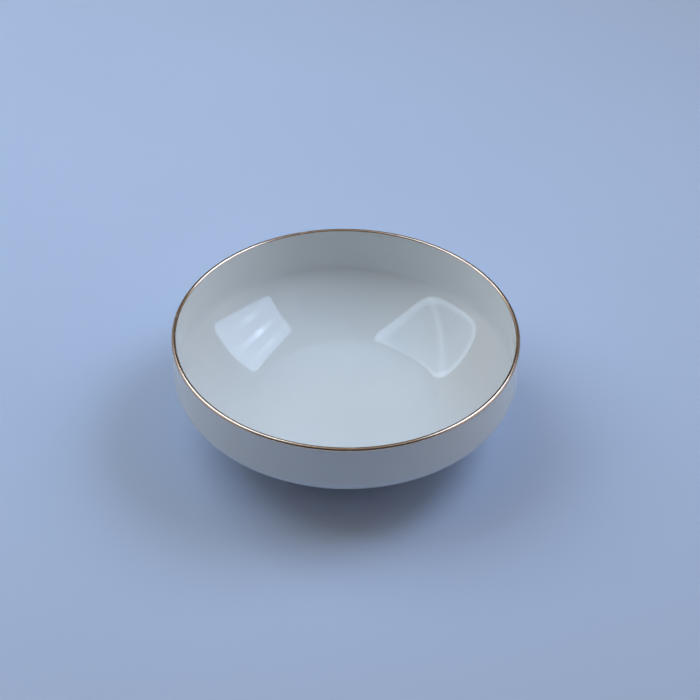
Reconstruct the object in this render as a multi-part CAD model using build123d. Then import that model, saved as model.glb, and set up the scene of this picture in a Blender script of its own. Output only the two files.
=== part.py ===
from build123d import *
from build123d.topology import SkipClean
import os
from collections import namedtuple
from math import atan2, cos, degrees, radians, sin, sqrt

# Porcelain serving bowl with a gilt lip: a fired body with its foot, two areas of glaze, and the gilding.
# Every piece is turned about Z. The origin is the centre of the plane that the foot stands on, +Z is up,
# and every outline below is drawn in the XZ plane as (radius, height). Millimetres and degrees.

# Driving dimensions of the finished, glazed and gilded bowl.
OVERALL_HEIGHT = 71.0
LIP_DIAMETER = 216.0
LIP_THICKNESS = 2.8
GLAZE_THICKNESS = 0.2
GILDING_THICKNESS = 0.2
BASE_THICKNESS = 5.2

# The foot: a ring turned in one piece with the body.
FOOT_DIAMETER = 112.0
FOOT_THICKNESS = 4.4
FOOT_ROOT_FILLET = 3.0
FOOT_EDGE_ROUNDING = 1.2
RECESS_FILLET = 2.5
GLAZE_LINE_HEIGHT = 1.8

# The gilt band starts on the inner round of the lip and ends just below the round, outside.
# It is turned in equal sectors, so that each face of a film this thin is short.
GILDING_INNER_BEARING = 150.0
GILDING_OUTER_OVERLAP = 0.6
GILDING_SECTORS = 8

# One face of the wall, from the lip down. lip_side is +1 for the outer face and -1 for the inner one,
# lean is how far the wall leans out going down, drop is the lip's top to the centre of the shoulder,
# turn is the slope where the shoulder ends, measured from vertical, and body_radius is the shallow body's.
Side = namedtuple("Side", "lip_side lean drop shoulder_radius turn body_radius")
INNER = Side(lip_side=-1, lean=0.3, drop=25.5, shoulder_radius=10.0, turn=45.0, body_radius=113.0)
OUTER = Side(lip_side=1, lean=0.5, drop=26.0, shoulder_radius=12.5, turn=45.0, body_radius=118.0)
WELL_SLOPE = 21.0
WELL_FILLET = 14.0

FULL_TURN = 360
HALF_TURN = 180
TOP_BEARING = 90
BOTTOM_BEARING = -90

lip_radius = LIP_THICKNESS / 2
lip_top = OVERALL_HEIGHT - GILDING_THICKNESS
lip_centre = (LIP_DIAMETER / 2 - lip_radius, lip_top - lip_radius)
foot_outer = FOOT_DIAMETER / 2
foot_inner = foot_outer - FOOT_THICKNESS


def from_centre(centre, distance, bearing):
    """The point at a distance from centre, at a bearing in degrees above the outward horizontal."""
    return (centre[0] + distance * cos(radians(bearing)), centre[1] + distance * sin(radians(bearing)))


def line(start, end):
    """A straight edge between two (radius, height) points."""
    return Line((start[0], 0, start[1]), (end[0], 0, end[1]))


def arc(centre, radius, start_bearing, end_bearing):
    """A circular edge about centre, from one bearing to another."""
    bearings = (start_bearing, (start_bearing + end_bearing) / 2, end_bearing)
    points = [from_centre(centre, radius, bearing) for bearing in bearings]
    return ThreePointArc(*[(point[0], 0, point[1]) for point in points])


def turned(outline):
    """The solid that a closed outline sweeps in one full turn about Z."""
    return revolve(make_face(outline), Axis.Z, FULL_TURN)


def shoulder_centre(side):
    """Centre of a side's shoulder arc, which the side's wall joins to the round of the lip."""
    height = lip_top - side.drop
    fall = height - lip_centre[1]
    gap = side.lip_side * lip_radius - side.shoulder_radius
    outward = (gap - fall * sin(radians(side.lean))) / cos(radians(side.lean))
    return (lip_centre[0] + outward, height)


def body_centre(side):
    """Centre of a side's shallow body arc, tangent to the shoulder arc where that ends."""
    return from_centre(shoulder_centre(side), side.shoulder_radius - side.body_radius, -side.turn)


def lip_point(side, inset):
    """Where the round of the lip meets a side's wall, on a surface inset into the material."""
    return from_centre(lip_centre, side.lip_side * (lip_radius - inset), side.lean)


def wall_and_shoulder(side, inset):
    """A side's wall and shoulder, from the lip down, on a surface inset into the material."""
    radius = side.shoulder_radius - side.lip_side * inset
    centre = shoulder_centre(side)
    wall = line(lip_point(side, inset), from_centre(centre, radius, side.lean))
    return [wall, arc(centre, radius, side.lean, -side.turn)]


well_bearing = WELL_SLOPE + BOTTOM_BEARING
well_centre = from_centre(body_centre(INNER), INNER.body_radius - WELL_FILLET, well_bearing)
well_floor = well_centre[1] - WELL_FILLET
recess_ceiling = well_floor - BASE_THICKNESS


def inner_face(inset):
    """The inside of the bowl from the lip to the centre of the well."""
    edges = wall_and_shoulder(INNER, inset)
    edges.append(arc(body_centre(INNER), INNER.body_radius + inset, -INNER.turn, well_bearing))
    edges.append(arc(well_centre, WELL_FILLET + inset, well_bearing, BOTTOM_BEARING))
    edges.append(line((well_centre[0], well_floor - inset), (0, well_floor - inset)))
    return edges


def lip_round(inset):
    """The full round over the lip, from the inner wall to the outer wall."""
    return [arc(lip_centre, lip_radius - inset, HALF_TURN + INNER.lean, OUTER.lean)]


def foot_root_centre():
    """Centre of the hollow fillet between the outer body arc and the foot's outer face."""
    centre = body_centre(OUTER)
    radius = foot_outer + FOOT_ROOT_FILLET
    reach = OUTER.body_radius + FOOT_ROOT_FILLET
    return (radius, centre[1] - sqrt(reach**2 - (radius - centre[0]) ** 2))


def outer_face(inset, foot_end):
    """The outside of the bowl from the lip, over the shoulder and down the foot to a height."""
    centre = body_centre(OUTER)
    root = foot_root_centre()
    root_bearing = degrees(atan2(root[1] - centre[1], root[0] - centre[0]))
    edges = wall_and_shoulder(OUTER, inset)
    edges.append(arc(centre, OUTER.body_radius - inset, -OUTER.turn, root_bearing))
    edges.append(arc(root, FOOT_ROOT_FILLET + inset, root_bearing + HALF_TURN, HALF_TURN))
    edges.append(line((foot_outer - inset, root[1]), (foot_outer - inset, foot_end)))
    return edges


def recess_face(inset, foot_end):
    """The hollow under the base: up the inside of the foot from a height, and in to the axis."""
    wall = foot_inner + inset
    ceiling = recess_ceiling + inset
    centre = (foot_inner - RECESS_FILLET, recess_ceiling - RECESS_FILLET)
    return [
        line((wall, foot_end), (wall, centre[1])),
        arc(centre, RECESS_FILLET + inset, 0, TOP_BEARING),
        line((centre[0], ceiling), (0, ceiling)),
    ]


def foot_edge(inset):
    """The bare bottom of the foot: two rounded edges and the narrow flat that it stands on."""
    outside = (foot_outer - inset - FOOT_EDGE_ROUNDING, FOOT_EDGE_ROUNDING)
    inside = (foot_inner + inset + FOOT_EDGE_ROUNDING, FOOT_EDGE_ROUNDING)
    return [
        arc(outside, FOOT_EDGE_ROUNDING, 0, BOTTOM_BEARING),
        line((outside[0], 0), (inside[0], 0)),
        arc(inside, FOOT_EDGE_ROUNDING, BOTTOM_BEARING, -HALF_TURN),
    ]


def porcelain_body():
    """The fired body under its glaze, in one piece from the lip to the foot."""
    inset = GLAZE_THICKNESS
    outline = lip_round(inset) + inner_face(inset) + outer_face(inset, FOOT_EDGE_ROUNDING)
    outline += foot_edge(inset) + recess_face(inset, FOOT_EDGE_ROUNDING)
    outline.append(line((0, recess_ceiling + inset), (0, well_floor - inset)))
    return turned(outline)


def glaze_coat():
    """One skin of glaze: the well, the inner wall, over the lip, and the outside down to the wiped foot."""
    inset = GLAZE_THICKNESS
    outline = []
    for depth in (0, inset):
        outline += lip_round(depth) + inner_face(depth) + outer_face(depth, GLAZE_LINE_HEIGHT)
    outline.append(line((0, well_floor - inset), (0, well_floor)))
    outline.append(line((foot_outer - inset, GLAZE_LINE_HEIGHT), (foot_outer, GLAZE_LINE_HEIGHT)))
    return turned(outline)


def base_glaze():
    """The patch of glaze under the base, which stops above the wiped foot."""
    inset = GLAZE_THICKNESS
    outline = recess_face(0, GLAZE_LINE_HEIGHT) + recess_face(inset, GLAZE_LINE_HEIGHT)
    outline.append(line((0, recess_ceiling), (0, recess_ceiling + inset)))
    outline.append(line((foot_inner, GLAZE_LINE_HEIGHT), (foot_inner + inset, GLAZE_LINE_HEIGHT)))
    return turned(outline)


def gold_rim():
    """The gilt band over the glaze of the lip, one solid of equal sectors whose faces stay separate."""
    outline = []
    ends = []
    for radius in (lip_radius, lip_radius + GILDING_THICKNESS):
        start = from_centre(lip_centre, radius, GILDING_INNER_BEARING)
        spring = from_centre(lip_centre, radius, OUTER.lean)
        end = from_centre(spring, GILDING_OUTER_OVERLAP, OUTER.lean + BOTTOM_BEARING)
        outline.append(arc(lip_centre, radius, GILDING_INNER_BEARING, OUTER.lean))
        outline.append(line(spring, end))
        ends.append((start, end))
    outline.append(line(ends[0][0], ends[1][0]))
    outline.append(line(ends[0][1], ends[1][1]))
    sweep = FULL_TURN / GILDING_SECTORS
    sector = revolve(make_face(outline), Axis.Z, sweep)
    with SkipClean():
        return sector.fuse(*[Rot(0, 0, sweep * index) * sector for index in range(1, GILDING_SECTORS)])


os.makedirs("parts", exist_ok=True)
for make_piece in (porcelain_body, glaze_coat, base_glaze, gold_rim):
    export_step(make_piece(), f"parts/{make_piece.__name__}.step")
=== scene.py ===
from collections import namedtuple
from math import atan2, ceil, copysign, cos, degrees, pi, radians, sin, sqrt

import bpy
from mathutils import Euler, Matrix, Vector


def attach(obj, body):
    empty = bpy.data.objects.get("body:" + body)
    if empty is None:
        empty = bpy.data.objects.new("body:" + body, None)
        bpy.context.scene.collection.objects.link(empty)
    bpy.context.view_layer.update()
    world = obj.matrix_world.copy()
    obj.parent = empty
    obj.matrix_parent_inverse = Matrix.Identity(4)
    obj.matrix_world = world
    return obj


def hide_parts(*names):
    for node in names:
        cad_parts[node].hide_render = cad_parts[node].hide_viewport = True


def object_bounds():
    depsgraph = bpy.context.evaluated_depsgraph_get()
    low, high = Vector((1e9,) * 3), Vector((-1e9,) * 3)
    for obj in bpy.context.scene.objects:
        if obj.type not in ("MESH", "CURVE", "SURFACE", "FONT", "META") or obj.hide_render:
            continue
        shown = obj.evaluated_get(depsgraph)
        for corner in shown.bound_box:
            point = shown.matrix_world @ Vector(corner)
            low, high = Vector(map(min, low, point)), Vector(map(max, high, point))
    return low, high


# A porcelain serving bowl with a gilt lip, turned in mesh code from the same outlines as the CAD bowl.
# Outlines are in millimetres until a mesh is made. Materials and the studio are in metres.
# Angles are in degrees, +Z is up, and the bowl's axis is Z.

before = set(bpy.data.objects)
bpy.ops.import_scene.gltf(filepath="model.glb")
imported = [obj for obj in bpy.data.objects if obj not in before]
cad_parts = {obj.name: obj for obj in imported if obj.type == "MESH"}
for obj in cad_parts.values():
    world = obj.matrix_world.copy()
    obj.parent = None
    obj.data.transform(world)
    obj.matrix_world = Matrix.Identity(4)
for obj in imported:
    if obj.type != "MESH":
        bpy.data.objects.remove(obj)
cad_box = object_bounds()

MM = 0.001
HALF_TURN = 180.0
TOP_BEARING = 90.0
BOTTOM_BEARING = -90.0

# The bowl's driving dimensions, the same as the CAD bowl's.
LIP_RADIUS_OUT = 108.0
LIP_THICKNESS = 2.8
GLAZE_THICKNESS = 0.2
GILDING_THICKNESS = 0.2
BASE_THICKNESS = 5.2
FOOT_RADIUS = 56.0
FOOT_THICKNESS = 4.4
FOOT_ROOT_FILLET = 3.0
FOOT_EDGE_ROUNDING = 1.2
RECESS_FILLET = 2.5
GLAZE_LINE_HEIGHT = 1.8
WELL_SLOPE = 21.0
WELL_FILLET = 14.0

# One face of the wall, from the lip down. lip_side is +1 for the outer face and -1 for the inner one,
# lean is how far the wall leans out going down, drop is the lip's top to the centre of the shoulder,
# turn is the slope where the shoulder ends, measured from vertical, and body_radius is the shallow body's.
Side = namedtuple("Side", "lip_side lean drop shoulder_radius turn body_radius")
INNER = Side(lip_side=-1, lean=0.3, drop=25.5, shoulder_radius=10.0, turn=45.0, body_radius=113.0)
OUTER = Side(lip_side=1, lean=0.5, drop=26.0, shoulder_radius=12.5, turn=45.0, body_radius=118.0)

# The wiped glaze line wanders by waves of (cycles, size, phase), which fade out at a height above it.
# The glaze ends there in a rounded bead, with points at these bearings.
GLAZE_LINE_WAVES = ((3, 0.10, 0.4), (7, 0.07, 1.9), (16, 0.04, 0.7), (29, 0.03, 2.6))
GLAZE_LINE_REACH = 4.0
BEAD_BEARINGS = (45.0, 90.0, 135.0)

# The gilding is a brushed film, thickest in the middle. Its two edges wander by waves of
# (cycles, size, phase): the inner one in degrees round the lip, the outer one in millimetres below the round.
GILT_FILM = 0.04
GILT_EDGE_FILM = 0.003
GILT_EDGE_POWER = 6
GILT_INNER_BEARING = 156.0
GILT_INNER_WAVES = ((2, 2.0, 0.3), (5, 1.8, 2.2), (13, 1.1, 1.1), (31, 0.8, 0.2), (58, 0.5, 2.9))
GILT_OVERLAP = 0.52
GILT_OVERLAP_WAVES = ((3, 0.06, 1.2), (8, 0.05, 0.3), (19, 0.03, 2.0), (41, 0.02, 0.9))
GILT_STEPS = 22

# Mesh density: segments in the full turn, and the longest steps in degrees of arc and millimetres of line.
# Points nearer the axis than AXIS_RADIUS are on it.
SEGMENTS = 360
ARC_STEP = 5.0
LINE_STEP = 4.0
AXIS_RADIUS = 1e-6

lip_round_radius = LIP_THICKNESS / 2
lip_top = cad_box[1][2] / MM - GILDING_THICKNESS
lip_centre = (LIP_RADIUS_OUT - lip_round_radius, lip_top - lip_round_radius)
foot_inner = FOOT_RADIUS - FOOT_THICKNESS


# ---------------------------------------------------------------- the outline of the bowl

def from_centre(centre, distance, bearing):
    """The point at a distance from centre, at a bearing in degrees above the outward horizontal."""
    return (centre[0] + distance * cos(radians(bearing)), centre[1] + distance * sin(radians(bearing)))


def line(start, end):
    """Points along a straight run, both ends included."""
    length = sqrt((end[0] - start[0]) ** 2 + (end[1] - start[1]) ** 2)
    count = max(1, ceil(length / LINE_STEP))
    steps = [index / count for index in range(count + 1)]
    return [(start[0] + (end[0] - start[0]) * t, start[1] + (end[1] - start[1]) * t) for t in steps]


def arc(centre, radius, start_bearing, end_bearing):
    """Points along an arc, both ends included, no further apart than the line and arc steps."""
    swept = abs(end_bearing - start_bearing)
    count = max(2, ceil(swept / ARC_STEP), ceil(radians(swept) * radius / LINE_STEP))
    bearings = [start_bearing + (end_bearing - start_bearing) * index / count for index in range(count + 1)]
    return [from_centre(centre, radius, bearing) for bearing in bearings]


def joined(*runs):
    """One outline from runs that meet end to end, with each shared point kept once."""
    points = []
    for run in runs:
        points += run[1:] if points else run
    return points


def shoulder_centre(side):
    """Centre of a side's shoulder arc, which the side's wall joins to the round of the lip."""
    height = lip_top - side.drop
    fall = height - lip_centre[1]
    gap = side.lip_side * lip_round_radius - side.shoulder_radius
    outward = (gap - fall * sin(radians(side.lean))) / cos(radians(side.lean))
    return (lip_centre[0] + outward, height)


def body_centre(side):
    """Centre of a side's shallow body arc, tangent to the shoulder arc where that ends."""
    return from_centre(shoulder_centre(side), side.shoulder_radius - side.body_radius, -side.turn)


well_bearing = WELL_SLOPE + BOTTOM_BEARING
well_centre = from_centre(body_centre(INNER), INNER.body_radius - WELL_FILLET, well_bearing)
well_floor = well_centre[1] - WELL_FILLET
recess_ceiling = well_floor - BASE_THICKNESS


def wall_and_shoulder(side, inset):
    """A side's wall and shoulder, from the lip down, on a surface inset into the material."""
    lip_point = from_centre(lip_centre, side.lip_side * (lip_round_radius - inset), side.lean)
    radius = side.shoulder_radius - side.lip_side * inset
    centre = shoulder_centre(side)
    return joined(
        line(lip_point, from_centre(centre, radius, side.lean)),
        arc(centre, radius, side.lean, -side.turn),
    )


def inner_face(inset):
    """The inside of the bowl from the lip to the centre of the well."""
    return joined(
        wall_and_shoulder(INNER, inset),
        arc(body_centre(INNER), INNER.body_radius + inset, -INNER.turn, well_bearing),
        arc(well_centre, WELL_FILLET + inset, well_bearing, BOTTOM_BEARING),
        line((well_centre[0], well_floor - inset), (0, well_floor - inset)),
    )


def lip_round(inset):
    """The full round over the lip, from the inner wall to the outer wall."""
    return arc(lip_centre, lip_round_radius - inset, HALF_TURN + INNER.lean, OUTER.lean)


def outer_face(inset, foot_end):
    """The outside of the bowl from the lip, over the shoulder and down the foot to a height."""
    centre = body_centre(OUTER)
    radius = FOOT_RADIUS + FOOT_ROOT_FILLET
    reach = OUTER.body_radius + FOOT_ROOT_FILLET
    root = (radius, centre[1] - sqrt(reach**2 - (radius - centre[0]) ** 2))
    root_bearing = degrees(atan2(root[1] - centre[1], root[0] - centre[0]))
    return joined(
        wall_and_shoulder(OUTER, inset),
        arc(centre, OUTER.body_radius - inset, -OUTER.turn, root_bearing),
        arc(root, FOOT_ROOT_FILLET + inset, root_bearing + HALF_TURN, HALF_TURN),
        line((FOOT_RADIUS - inset, root[1]), (FOOT_RADIUS - inset, foot_end)),
    )


def recess_face(inset, foot_end):
    """The hollow under the base: up the inside of the foot from a height, and in to the axis."""
    wall = foot_inner + inset
    ceiling = recess_ceiling + inset
    centre = (foot_inner - RECESS_FILLET, recess_ceiling - RECESS_FILLET)
    return joined(
        line((wall, foot_end), (wall, centre[1])),
        arc(centre, RECESS_FILLET + inset, 0, TOP_BEARING),
        line((centre[0], ceiling), (0, ceiling)),
    )


def foot_edge(inset):
    """The bare bottom of the foot, from its outer face to its inner one."""
    outside = (FOOT_RADIUS - inset - FOOT_EDGE_ROUNDING, FOOT_EDGE_ROUNDING)
    inside = (foot_inner + inset + FOOT_EDGE_ROUNDING, FOOT_EDGE_ROUNDING)
    return joined(
        arc(outside, FOOT_EDGE_ROUNDING, 0, BOTTOM_BEARING),
        line((outside[0], 0), (inside[0], 0)),
        arc(inside, FOOT_EDGE_ROUNDING, BOTTOM_BEARING, -HALF_TURN),
    )


# ---------------------------------------------------------------- turning outlines into meshes

def add_object(name, data):
    """An object in the scene that holds a mesh or a camera."""
    thing = bpy.data.objects.new(name, data)
    bpy.context.scene.collection.objects.link(thing)
    return thing


def add_mesh(name, verts, faces):
    """A mesh object in the scene."""
    mesh = bpy.data.meshes.new(name)
    mesh.from_pydata(verts, [], faces)
    mesh.validate()
    return add_object(name, mesh)


def wander(turn, waves):
    """A smooth, irregular wave round the full turn, summed from (cycles, size, phase) terms."""
    return sum(size * sin(cycles * turn + phase) for cycles, size, phase in waves)


def turned(name, outline, closed=False):
    """A smooth mesh of an outline swept about Z. The outline may be a function of the turn in radians."""
    turns = [2 * pi * segment / SEGMENTS for segment in range(SEGMENTS)]
    outlines = [outline(turn) if callable(outline) else outline for turn in turns]
    verts = []
    rows = []
    for stations in zip(*outlines):
        if stations[0][0] < AXIS_RADIUS:
            rows.append([len(verts)] * SEGMENTS)
            verts.append((0, 0, stations[0][1] * MM))
            continue
        rows.append(range(len(verts), len(verts) + SEGMENTS))
        for turn, (radius, height) in zip(turns, stations):
            verts.append((radius * cos(turn) * MM, radius * sin(turn) * MM, height * MM))
    pairs = list(zip(rows, rows[1:]))
    if closed:
        pairs.append((rows[-1], rows[0]))
    faces = []
    for above, below in pairs:
        for segment in range(SEGMENTS):
            after = (segment + 1) % SEGMENTS
            corners = dict.fromkeys((above[segment], below[segment], below[after], above[after]))
            if len(corners) > 2:
                faces.append(tuple(corners))
    piece = add_mesh(name, verts, faces)
    piece.data.polygons.foreach_set("use_smooth", [True] * len(piece.data.polygons))
    return piece


# ---------------------------------------------------------------- shader nodes

def new_material(name):
    """A node material, with its tree and its Principled shader."""
    material = bpy.data.materials.new(name)
    material.use_nodes = True
    return material, material.node_tree, material.node_tree.nodes["Principled BSDF"]


def add_node(tree, kind, **values):
    """A node with its properties and unlinked inputs set by name."""
    node = tree.nodes.new(kind)
    for key, value in values.items():
        if key in node.inputs:
            node.inputs[key].default_value = value
        else:
            setattr(node, key, value)
    return node


def linked(tree, kind, sources, **values):
    """A node whose inputs, by name or number, are linked from the given outputs."""
    node = add_node(tree, kind, **values)
    for key, output in sources.items():
        tree.links.new(output, node.inputs[key])
    return node


def piece_position(tree):
    """The position in the piece's own frame, in metres."""
    return tree.nodes.new("ShaderNodeTexCoord").outputs["Object"]


def axis_part(tree, vector, axis):
    """One part, X, Y or Z, of a vector or colour."""
    return linked(tree, "ShaderNodeSeparateXYZ", {0: vector}).outputs[axis]


def noise(tree, vector, scale, detail=2.0, roughness=0.5):
    """Noise about 0.5, with a scale in cells per unit of the vector."""
    node = linked(
        tree, "ShaderNodeTexNoise", {"Vector": vector}, Scale=scale, Detail=detail, Roughness=roughness
    )
    return node.outputs["Fac"]


def remap(tree, value, span, result=(0.0, 1.0)):
    """A value taken smoothly from one end of result to the other as it crosses the span."""
    limits = {"From Min": span[0], "From Max": span[1], "To Min": result[0], "To Max": result[1]}
    node = linked(
        tree, "ShaderNodeMapRange", {"Value": value}, interpolation_type="SMOOTHSTEP", **limits
    )
    return node.outputs[0]


def math_node(tree, operation, first, second=0.0):
    """A Math node of two outputs, or of an output and a number."""
    node = linked(tree, "ShaderNodeMath", {0: first}, operation=operation)
    if isinstance(second, (int, float)):
        node.inputs[1].default_value = second
    else:
        tree.links.new(second, node.inputs[1])
    return node.outputs[0]


def mixed(tree, factor, first, second):
    """A colour between two, each a plain colour or an output."""
    node = linked(tree, "ShaderNodeMix", {0: factor}, data_type="RGBA")
    for key, color in (("A_Color", first), ("B_Color", second)):
        socket = next(one for one in node.inputs if one.identifier == key)
        if isinstance(color, tuple):
            socket.default_value = (*color, 1)
        else:
            tree.links.new(color, socket)
    return next(one for one in node.outputs if one.identifier == "Result_Color")


def add_bump(tree, shader, layers):
    """Bump on the shader from (height output, metres from lowest to highest) layers."""
    normal = None
    for height, distance in layers:
        bump = linked(tree, "ShaderNodeBump", {"Height": height}, Distance=distance)
        if normal:
            tree.links.new(normal, bump.inputs["Normal"])
        normal = bump.outputs["Normal"]
    tree.links.new(normal, shader.inputs["Normal"])


# ---------------------------------------------------------------- materials

# In the materials, a SCALE is in cells per metre, a DEPTH is a bump's height in metres, a SPAN is the
# values between which a change happens, and a SHARE is how much of a colour shows at most.
NOISE_SPAN = (0.3, 0.7)
MILD_NOISE_SPAN = (0.35, 0.65)

GLAZE_WHITE = (0.845, 0.863, 0.855)
GLAZE_CLOUD = (0.815, 0.84, 0.838)
CLOUD_SCALE = 16.0
GLAZE_POOLED = (0.62, 0.75, 0.73)
POOL_HEIGHT_SPAN = (0.0095, 0.0030)
POOL_SHARE = 0.45
SPECK_COLOR = (0.30, 0.27, 0.23)
SPECK_SCALE = 110.0
SPECK_SPAN = (0.020, 0.012)
SPECK_SHARE = 0.55
SPECK_CUTOFF = 0.93
GLOSS_SCALE = 40.0
GLAZE_ROUGHNESS = (0.025, 0.060)
GLAZE_IOR = 1.52
RIPPLE_SCALE = 42.0
RIPPLE_DEPTH = 0.00007
PEEL_SCALE = 420.0
PEEL_DEPTH = 0.000004

BISQUE_PALE = (0.80, 0.775, 0.72)
BISQUE_DARK = (0.72, 0.69, 0.63)
GRAIN_SCALE = 1400.0
GRAIN_DEPTH = 0.00004
BISQUE_ROUGHNESS = (0.65, 0.85)
FLASHING_COLOR = (0.74, 0.60, 0.45)
FLASHING_SCALE = 28.0
FLASHING_SPAN = (0.45, 0.75)
FLASHING_SHARE = 0.45
SCUFF_COLOR = (0.36, 0.34, 0.32)
SCUFF_SCALE = 260.0
SCUFF_NOISE_ROUGHNESS = 0.7
SCUFF_SPAN = (0.52, 0.62)
SCUFF_HEIGHT_SPAN = (0.0005, 0.0)
SCUFF_SHARE = 0.6
LUMP_SCALE = 300.0
LUMP_DEPTH = 0.00006

GOLD_THICK = (0.84, 0.68, 0.53)
GOLD_THIN = (0.70, 0.54, 0.45)
GOLD_RUBBED = (0.88, 0.80, 0.70)
STREAKS_PER_RADIAN = 9.0
STREAKS_PER_METRE = 2600.0
STREAK_NOISE_ROUGHNESS = 0.6
STREAK_DEPTH = 0.00001
RUBBED_SCALE = 330.0
RUBBED_NOISE_ROUGHNESS = 0.65
RUBBED_SPAN = (0.62, 0.74)
RUBBED_SHARE = 0.6
GOLD_ROUGHNESS_SPAN = (0.25, 0.75)
GOLD_ROUGHNESS = (0.12, 0.30)

PAPER_PALE = (0.585, 0.685, 0.875)
PAPER_DARK = (0.570, 0.670, 0.860)
MOTTLE_SCALE = 2.5
PAPER_ROUGHNESS = 0.9
PAPER_SPECULAR = 0.1
TOOTH_SCALE = 900.0
TOOTH_DEPTH = 0.00003


def glaze_material():
    """Clear glaze on white porcelain: faint clouds, tint pooled at the foot, specks, and a soft ripple."""
    material, tree, shader = new_material("glazed_porcelain")
    position = piece_position(tree)
    clouds = remap(tree, noise(tree, position, CLOUD_SCALE, detail=3.0), MILD_NOISE_SPAN)
    color = mixed(tree, clouds, GLAZE_WHITE, GLAZE_CLOUD)
    pooled = remap(tree, axis_part(tree, position, "Z"), POOL_HEIGHT_SPAN, (0.0, POOL_SHARE))
    color = mixed(tree, pooled, color, GLAZE_POOLED)
    cells = linked(tree, "ShaderNodeTexVoronoi", {"Vector": position}, Scale=SPECK_SCALE)
    dot = remap(tree, cells.outputs["Distance"], SPECK_SPAN, (0.0, SPECK_SHARE))
    chosen = math_node(tree, "GREATER_THAN", axis_part(tree, cells.outputs["Color"], "X"), SPECK_CUTOFF)
    color = mixed(tree, math_node(tree, "MULTIPLY", dot, chosen), color, SPECK_COLOR)
    tree.links.new(color, shader.inputs["Base Color"])
    gloss = remap(tree, noise(tree, position, GLOSS_SCALE, detail=4.0), NOISE_SPAN, GLAZE_ROUGHNESS)
    tree.links.new(gloss, shader.inputs["Roughness"])
    shader.inputs["IOR"].default_value = GLAZE_IOR
    ripple = noise(tree, position, RIPPLE_SCALE, detail=1.0)
    peel = noise(tree, position, PEEL_SCALE, detail=1.0)
    add_bump(tree, shader, ((ripple, RIPPLE_DEPTH), (peel, PEEL_DEPTH)))
    return material


def bisque_material():
    """Bare fired porcelain: a fine grain, warm flashing, and grey scuffs where the foot stands."""
    material, tree, shader = new_material("bare_porcelain")
    position = piece_position(tree)
    grain = noise(tree, position, GRAIN_SCALE, detail=3.0)
    color = mixed(tree, remap(tree, grain, NOISE_SPAN), BISQUE_PALE, BISQUE_DARK)
    flashing = noise(tree, position, FLASHING_SCALE, detail=3.0)
    color = mixed(tree, remap(tree, flashing, FLASHING_SPAN, (0.0, FLASHING_SHARE)), color, FLASHING_COLOR)
    low = remap(tree, axis_part(tree, position, "Z"), SCUFF_HEIGHT_SPAN)
    scuffs = noise(tree, position, SCUFF_SCALE, detail=5.0, roughness=SCUFF_NOISE_ROUGHNESS)
    scuffs = remap(tree, scuffs, SCUFF_SPAN, (0.0, SCUFF_SHARE))
    color = mixed(tree, math_node(tree, "MULTIPLY", low, scuffs), color, SCUFF_COLOR)
    tree.links.new(color, shader.inputs["Base Color"])
    tree.links.new(remap(tree, grain, NOISE_SPAN, BISQUE_ROUGHNESS), shader.inputs["Roughness"])
    lumps = noise(tree, position, LUMP_SCALE, detail=3.0)
    add_bump(tree, shader, ((grain, GRAIN_DEPTH), (lumps, LUMP_DEPTH)))
    return material


def gold_material():
    """Burnished gold put on with a brush: streaks along the lip, pinker where thin, rubbed pale spots."""
    material, tree, shader = new_material("burnished_gold")
    position = piece_position(tree)
    bearing = math_node(tree, "ARCTAN2", axis_part(tree, position, "Y"), axis_part(tree, position, "X"))
    along = math_node(tree, "MULTIPLY", bearing, STREAKS_PER_RADIAN)
    across = math_node(tree, "MULTIPLY", axis_part(tree, position, "Z"), STREAKS_PER_METRE)
    brushed = linked(tree, "ShaderNodeCombineXYZ", {"X": along, "Z": across}).outputs[0]
    streaks = noise(tree, brushed, 1.0, detail=3.0, roughness=STREAK_NOISE_ROUGHNESS)
    color = mixed(tree, remap(tree, streaks, NOISE_SPAN), GOLD_THICK, GOLD_THIN)
    rubbed = noise(tree, position, RUBBED_SCALE, detail=4.0, roughness=RUBBED_NOISE_ROUGHNESS)
    color = mixed(tree, remap(tree, rubbed, RUBBED_SPAN, (0.0, RUBBED_SHARE)), color, GOLD_RUBBED)
    tree.links.new(color, shader.inputs["Base Color"])
    shader.inputs["Metallic"].default_value = 1.0
    tree.links.new(remap(tree, streaks, GOLD_ROUGHNESS_SPAN, GOLD_ROUGHNESS), shader.inputs["Roughness"])
    add_bump(tree, shader, ((streaks, STREAK_DEPTH),))
    return material


def paper_material():
    """Pale blue paper: a faint mottle and a fine tooth."""
    material, tree, shader = new_material("paper_sweep")
    position = piece_position(tree)
    mottle = remap(tree, noise(tree, position, MOTTLE_SCALE, detail=3.0), MILD_NOISE_SPAN)
    tree.links.new(mixed(tree, mottle, PAPER_PALE, PAPER_DARK), shader.inputs["Base Color"])
    shader.inputs["Roughness"].default_value = PAPER_ROUGHNESS
    shader.inputs["Specular IOR Level"].default_value = PAPER_SPECULAR
    add_bump(tree, shader, ((noise(tree, position, TOOTH_SCALE), TOOTH_DEPTH),))
    return material


# ---------------------------------------------------------------- the pieces

glaze = glaze_material()
bisque = bisque_material()
gold = gold_material()


def settle(piece, material, node):
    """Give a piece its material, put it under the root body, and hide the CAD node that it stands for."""
    piece.data.materials.append(material)
    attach(piece, "root")
    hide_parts(node)


def wiped(outline):
    """The outline at each turn, with its glaze line moved up or down as a wiped edge wanders."""
    def at(turn):
        rise = wander(turn, GLAZE_LINE_WAVES)
        points = []
        for radius, height in outline:
            share = (GLAZE_LINE_REACH - height) / (GLAZE_LINE_REACH - GLAZE_LINE_HEIGHT)
            points.append((radius, height + rise * min(max(share, 0), 1)))
        return points
    return at


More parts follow.
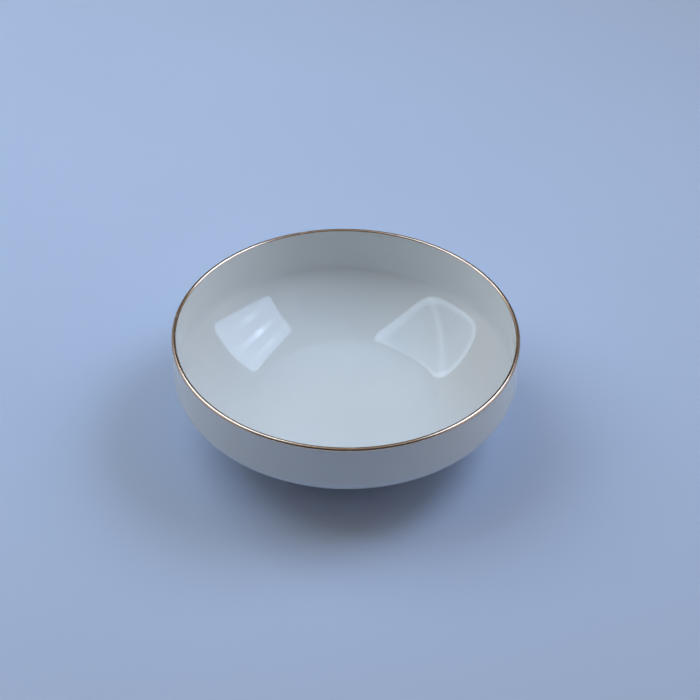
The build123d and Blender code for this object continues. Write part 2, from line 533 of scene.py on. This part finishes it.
def glaze_skin(name, outline_of, node):
    """A closed skin of glaze from its surface to the body under it, with a rounded bead at its line."""
    surface = outline_of(0)
    under = outline_of(GLAZE_THICKNESS)
    middle = (surface[-1][0] + under[-1][0]) / 2
    radius = (surface[-1][0] - under[-1][0]) / 2
    bead = [
        (middle + radius * cos(radians(bearing)), GLAZE_LINE_HEIGHT - abs(radius) * sin(radians(bearing)))
        for bearing in BEAD_BEARINGS
    ]
    settle(turned(name, wiped(surface + bead + under[::-1]), closed=True), glaze, node)


def coat_outline(inset):
    """The glaze coat's surface from the middle of the well, over the lip, to the glaze line."""
    return joined(inner_face(inset)[::-1], lip_round(inset), outer_face(inset, GLAZE_LINE_HEIGHT))


def base_outline(inset):
    """The base glaze's surface, from the middle of the recess to the glaze line."""
    return recess_face(inset, GLAZE_LINE_HEIGHT)[::-1]


def body_outline():
    """The fired body under its glaze, all the way round from the well to the recess."""
    inset = GLAZE_THICKNESS
    return joined(
        inner_face(inset)[::-1],
        lip_round(inset),
        outer_face(inset, FOOT_EDGE_ROUNDING),
        foot_edge(inset),
        recess_face(inset, FOOT_EDGE_ROUNDING),
    )


def gilt_outline(turn):
    """The gilding's section at a turn: a film over the lip that thins out at both edges."""
    start = GILT_INNER_BEARING + wander(turn, GILT_INNER_WAVES)
    overlap = GILT_OVERLAP + wander(turn, GILT_OVERLAP_WAVES)
    arc_length = radians(start - OUTER.lean) * lip_round_radius
    surface = []
    under = []
    for step in range(GILT_STEPS + 1):
        across = step / GILT_STEPS
        film = GILT_EDGE_FILM + GILT_FILM * (1 - (2 * across - 1) ** GILT_EDGE_POWER)
        distance = across * (arc_length + overlap)
        bearing = max(start - degrees(distance / lip_round_radius), OUTER.lean)
        below = max(distance - arc_length, 0)
        for points, radius in ((surface, lip_round_radius + film), (under, lip_round_radius)):
            spring = from_centre(lip_centre, radius, bearing)
            points.append(from_centre(spring, below, OUTER.lean + BOTTOM_BEARING))
    return surface + under[::-1]


glaze_skin("glaze_coat_skin", coat_outline, "glaze_coat")
glaze_skin("base_glaze_skin", base_outline, "base_glaze")
settle(turned("fired_body", body_outline()), bisque, "porcelain_body")
settle(turned("gilt_line", gilt_outline, closed=True), gold, "gold_rim")


# ---------------------------------------------------------------- the studio

# The camera, whose distance from the middle of the lip and step to the side are in radii of the lip.
CAMERA_LENS = 85.0
CAMERA_SENSOR = 36.0
CAMERA_DISTANCE = 9.618
CAMERA_SIDE = 0.025
CAMERA_ELEVATION = 39.25
CAMERA_PITCH = 39.95
CAMERA_ROLL = 0.87

# The light panels. Each stands at an azimuth from +X and an elevation, seen from the middle of the lip,
# faces another such direction, and is spun about it. The higher its power, the squarer its outline.
Panel = namedtuple("Panel", "name azimuth elevation facing spin width height power color strength")
RIGHT_PANEL = Panel(
    name="softbox_right", azimuth=22.4, elevation=53.8, facing=(195.6, -14.5), spin=-44.6,
    width=0.60, height=0.74, power=14.0, color=(0.78, 1.0, 1.34), strength=4.4,
)
LEFT_PANEL = Panel(
    name="softbox_left", azimuth=152.8, elevation=49.7, facing=(14.0, -73.3), spin=-24.8,
    width=0.74, height=0.70, power=3.4, color=(0.80, 1.0, 1.24), strength=2.4,
)
PANEL_DISTANCE = 1.1
PANEL_STEPS = 96
PANEL_CORNER_SHARE = 0.97

# The right panel's tubes: rows a spacing apart, each with a hot spot at its middle and a glow that fades
# out along it, and all of them brightest in the middle row.
TUBE_SPACING = 0.19
TUBE_WAVE_SPAN = (0.1, 1.0)
TUBE_REACH = 0.36
TUBE_LEVELS = (0.05, 0.42)
HOT_SPOT_REACH = 0.08
HOT_SPOT_LEVEL = 0.70
MIDDLE_ROW_SPAN = (0.16, 0.02)
MIDDLE_ROW_LEVELS = (0.6, 1.35)
DIFFUSER_LEVEL = 0.76

# The left panel's bright border, as shares of the way out to its edge, and the line across it.
BORDER_SPAN = (0.76, 0.93)
BORDER_LEVELS = (0.74, 1.45)
CROSS_LINE_REACH = 0.08
CROSS_LINE_LEVEL = 0.50

# The sky is dark but for glows of (azimuth, elevation, angle at which it has faded out, strength).
SKY_COLOR = (1.18, 1.0, 0.80)
SKY_GLOWS = (
    (0.0, 90.0, 55.0, 0.18),
    (155.0, 45.0, 50.0, 0.42),
    (25.0, 45.0, 50.0, 0.19),
    (180.0, 14.0, 38.0, 0.34),
    (0.0, 14.0, 38.0, 0.55),
)
FLOOR_HALF = 6.0

lip_height = cad_box[1][2]
lip_radius = lip_centre[0] * MM


def spherical(azimuth, elevation):
    """The unit vector at an azimuth from +X towards +Y and an elevation, in degrees."""
    flat = cos(radians(elevation))
    return Vector((flat * cos(radians(azimuth)), flat * sin(radians(azimuth)), sin(radians(elevation))))


def studio_camera():
    """The camera, on the -Y side of the bowl and looking down into it."""
    data = bpy.data.cameras.new("camera")
    data.lens = CAMERA_LENS
    data.sensor_width = CAMERA_SENSOR
    camera = add_object("camera", data)
    distance = CAMERA_DISTANCE * lip_radius
    camera.location = (
        CAMERA_SIDE * lip_radius,
        -distance * cos(radians(CAMERA_ELEVATION)),
        lip_height + distance * sin(radians(CAMERA_ELEVATION)),
    )
    pitch = Euler((radians(TOP_BEARING - CAMERA_PITCH), 0, 0)).to_matrix()
    roll = Euler((0, 0, radians(CAMERA_ROLL))).to_matrix()
    camera.rotation_euler = (pitch @ roll).to_euler()
    return camera


def panel_reach(panel):
    """How far a panel's outline reaches from its middle, as a share of its width or height."""
    return PANEL_CORNER_SHARE * 2 ** (1 / panel.power) / 2


def panel_material(panel, pattern):
    """An emissive material whose brightness is the panel's strength times what pattern(tree) gives."""
    material = bpy.data.materials.new(panel.name)
    material.use_nodes = True
    tree = material.node_tree
    tree.nodes.clear()
    level = math_node(tree, "MULTIPLY", pattern(tree), panel.strength)
    emission = linked(tree, "ShaderNodeEmission", {"Strength": level}, Color=(*panel.color, 1))
    output = tree.nodes.new("ShaderNodeOutputMaterial")
    tree.links.new(emission.outputs[0], output.inputs["Surface"])
    return material


def softbox(panel, pattern):
    """A light panel with a superellipse for an outline, hidden from the camera itself."""
    reach = panel_reach(panel)
    corners = []
    for step in range(PANEL_STEPS):
        turn = 2 * pi * step / PANEL_STEPS
        x = copysign(abs(cos(turn)) ** (2 / panel.power), cos(turn))
        y = copysign(abs(sin(turn)) ** (2 / panel.power), sin(turn))
        corners.append((x * reach * panel.width, y * reach * panel.height, 0))
    light = add_mesh(panel.name, corners, [range(PANEL_STEPS)])
    light.data.materials.append(panel_material(panel, pattern))
    out = spherical(panel.azimuth, panel.elevation)
    light.location = Vector((0, 0, lip_height)) + out * PANEL_DISTANCE
    aim = spherical(*panel.facing).to_track_quat("Z", "Y").to_matrix()
    light.rotation_euler = (aim @ Euler((0, 0, radians(panel.spin))).to_matrix()).to_euler()
    light.visible_camera = False


def tube_pattern(tree):
    """Rows of tubes behind a thin diffuser, each with a hot spot at its middle."""
    position = piece_position(tree)
    x = axis_part(tree, position, "X")
    wave = math_node(tree, "COSINE", math_node(tree, "MULTIPLY", x, 2 * pi / TUBE_SPACING))
    row = remap(tree, wave, TUBE_WAVE_SPAN)
    along = math_node(tree, "ABSOLUTE", axis_part(tree, position, "Y"))
    tube = remap(tree, along, (TUBE_REACH, 0.0), TUBE_LEVELS)
    spot = remap(tree, along, (HOT_SPOT_REACH, 0.0), (0.0, HOT_SPOT_LEVEL))
    middle_row = remap(tree, math_node(tree, "ABSOLUTE", x), MIDDLE_ROW_SPAN, MIDDLE_ROW_LEVELS)
    bright = math_node(tree, "MULTIPLY", math_node(tree, "ADD", tube, spot), middle_row)
    return math_node(tree, "ADD", math_node(tree, "MULTIPLY", row, bright), DIFFUSER_LEVEL)


def border_pattern(tree):
    """The left panel, brighter along its edge and with a faint bright line from corner to corner."""
    position = piece_position(tree)
    x = axis_part(tree, position, "X")
    y = axis_part(tree, position, "Y")
    power = LEFT_PANEL.power
    parts = []
    for part, size in ((x, LEFT_PANEL.width), (y, LEFT_PANEL.height)):
        share = math_node(tree, "DIVIDE", part, panel_reach(LEFT_PANEL) * size)
        parts.append(math_node(tree, "POWER", math_node(tree, "ABSOLUTE", share), power))
    outward = math_node(tree, "POWER", math_node(tree, "ADD", *parts), 1 / power)
    border = remap(tree, outward, BORDER_SPAN, BORDER_LEVELS)
    off_line = math_node(tree, "ABSOLUTE", math_node(tree, "SUBTRACT", x, y))
    cross_line = remap(tree, off_line, (CROSS_LINE_REACH, 0.0), (0.0, CROSS_LINE_LEVEL))
    return math_node(tree, "ADD", border, cross_line)


def studio_world():
    """A sky of soft glows."""
    world = bpy.data.worlds.new("studio")
    world.use_nodes = True
    tree = world.node_tree
    background = tree.nodes["Background"]
    background.inputs["Color"].default_value = (*SKY_COLOR, 1)
    direction = tree.nodes.new("ShaderNodeTexCoord").outputs["Generated"]
    total = None
    for azimuth, elevation, faded, strength in SKY_GLOWS:
        facing = linked(tree, "ShaderNodeVectorMath", {0: direction}, operation="DOT_PRODUCT")
        facing.inputs[1].default_value = spherical(azimuth, elevation)
        glow = remap(tree, facing.outputs["Value"], (cos(radians(faded)), 1.0), (0.0, strength))
        total = math_node(tree, "ADD", total, glow) if total else glow
    tree.links.new(total, background.inputs["Strength"])
    return world


bpy.context.scene.camera = studio_camera()
softbox(RIGHT_PANEL, tube_pattern)
softbox(LEFT_PANEL, border_pattern)

floor_corners = [(x * FLOOR_HALF, y * FLOOR_HALF, 0) for x, y in ((-1, -1), (1, -1), (1, 1), (-1, 1))]
floor = add_mesh("floor", floor_corners, [(0, 1, 2, 3)])
floor.data.materials.append(paper_material())

bpy.context.scene.world = studio_world()
bpy.context.scene.view_settings.view_transform = "Standard"
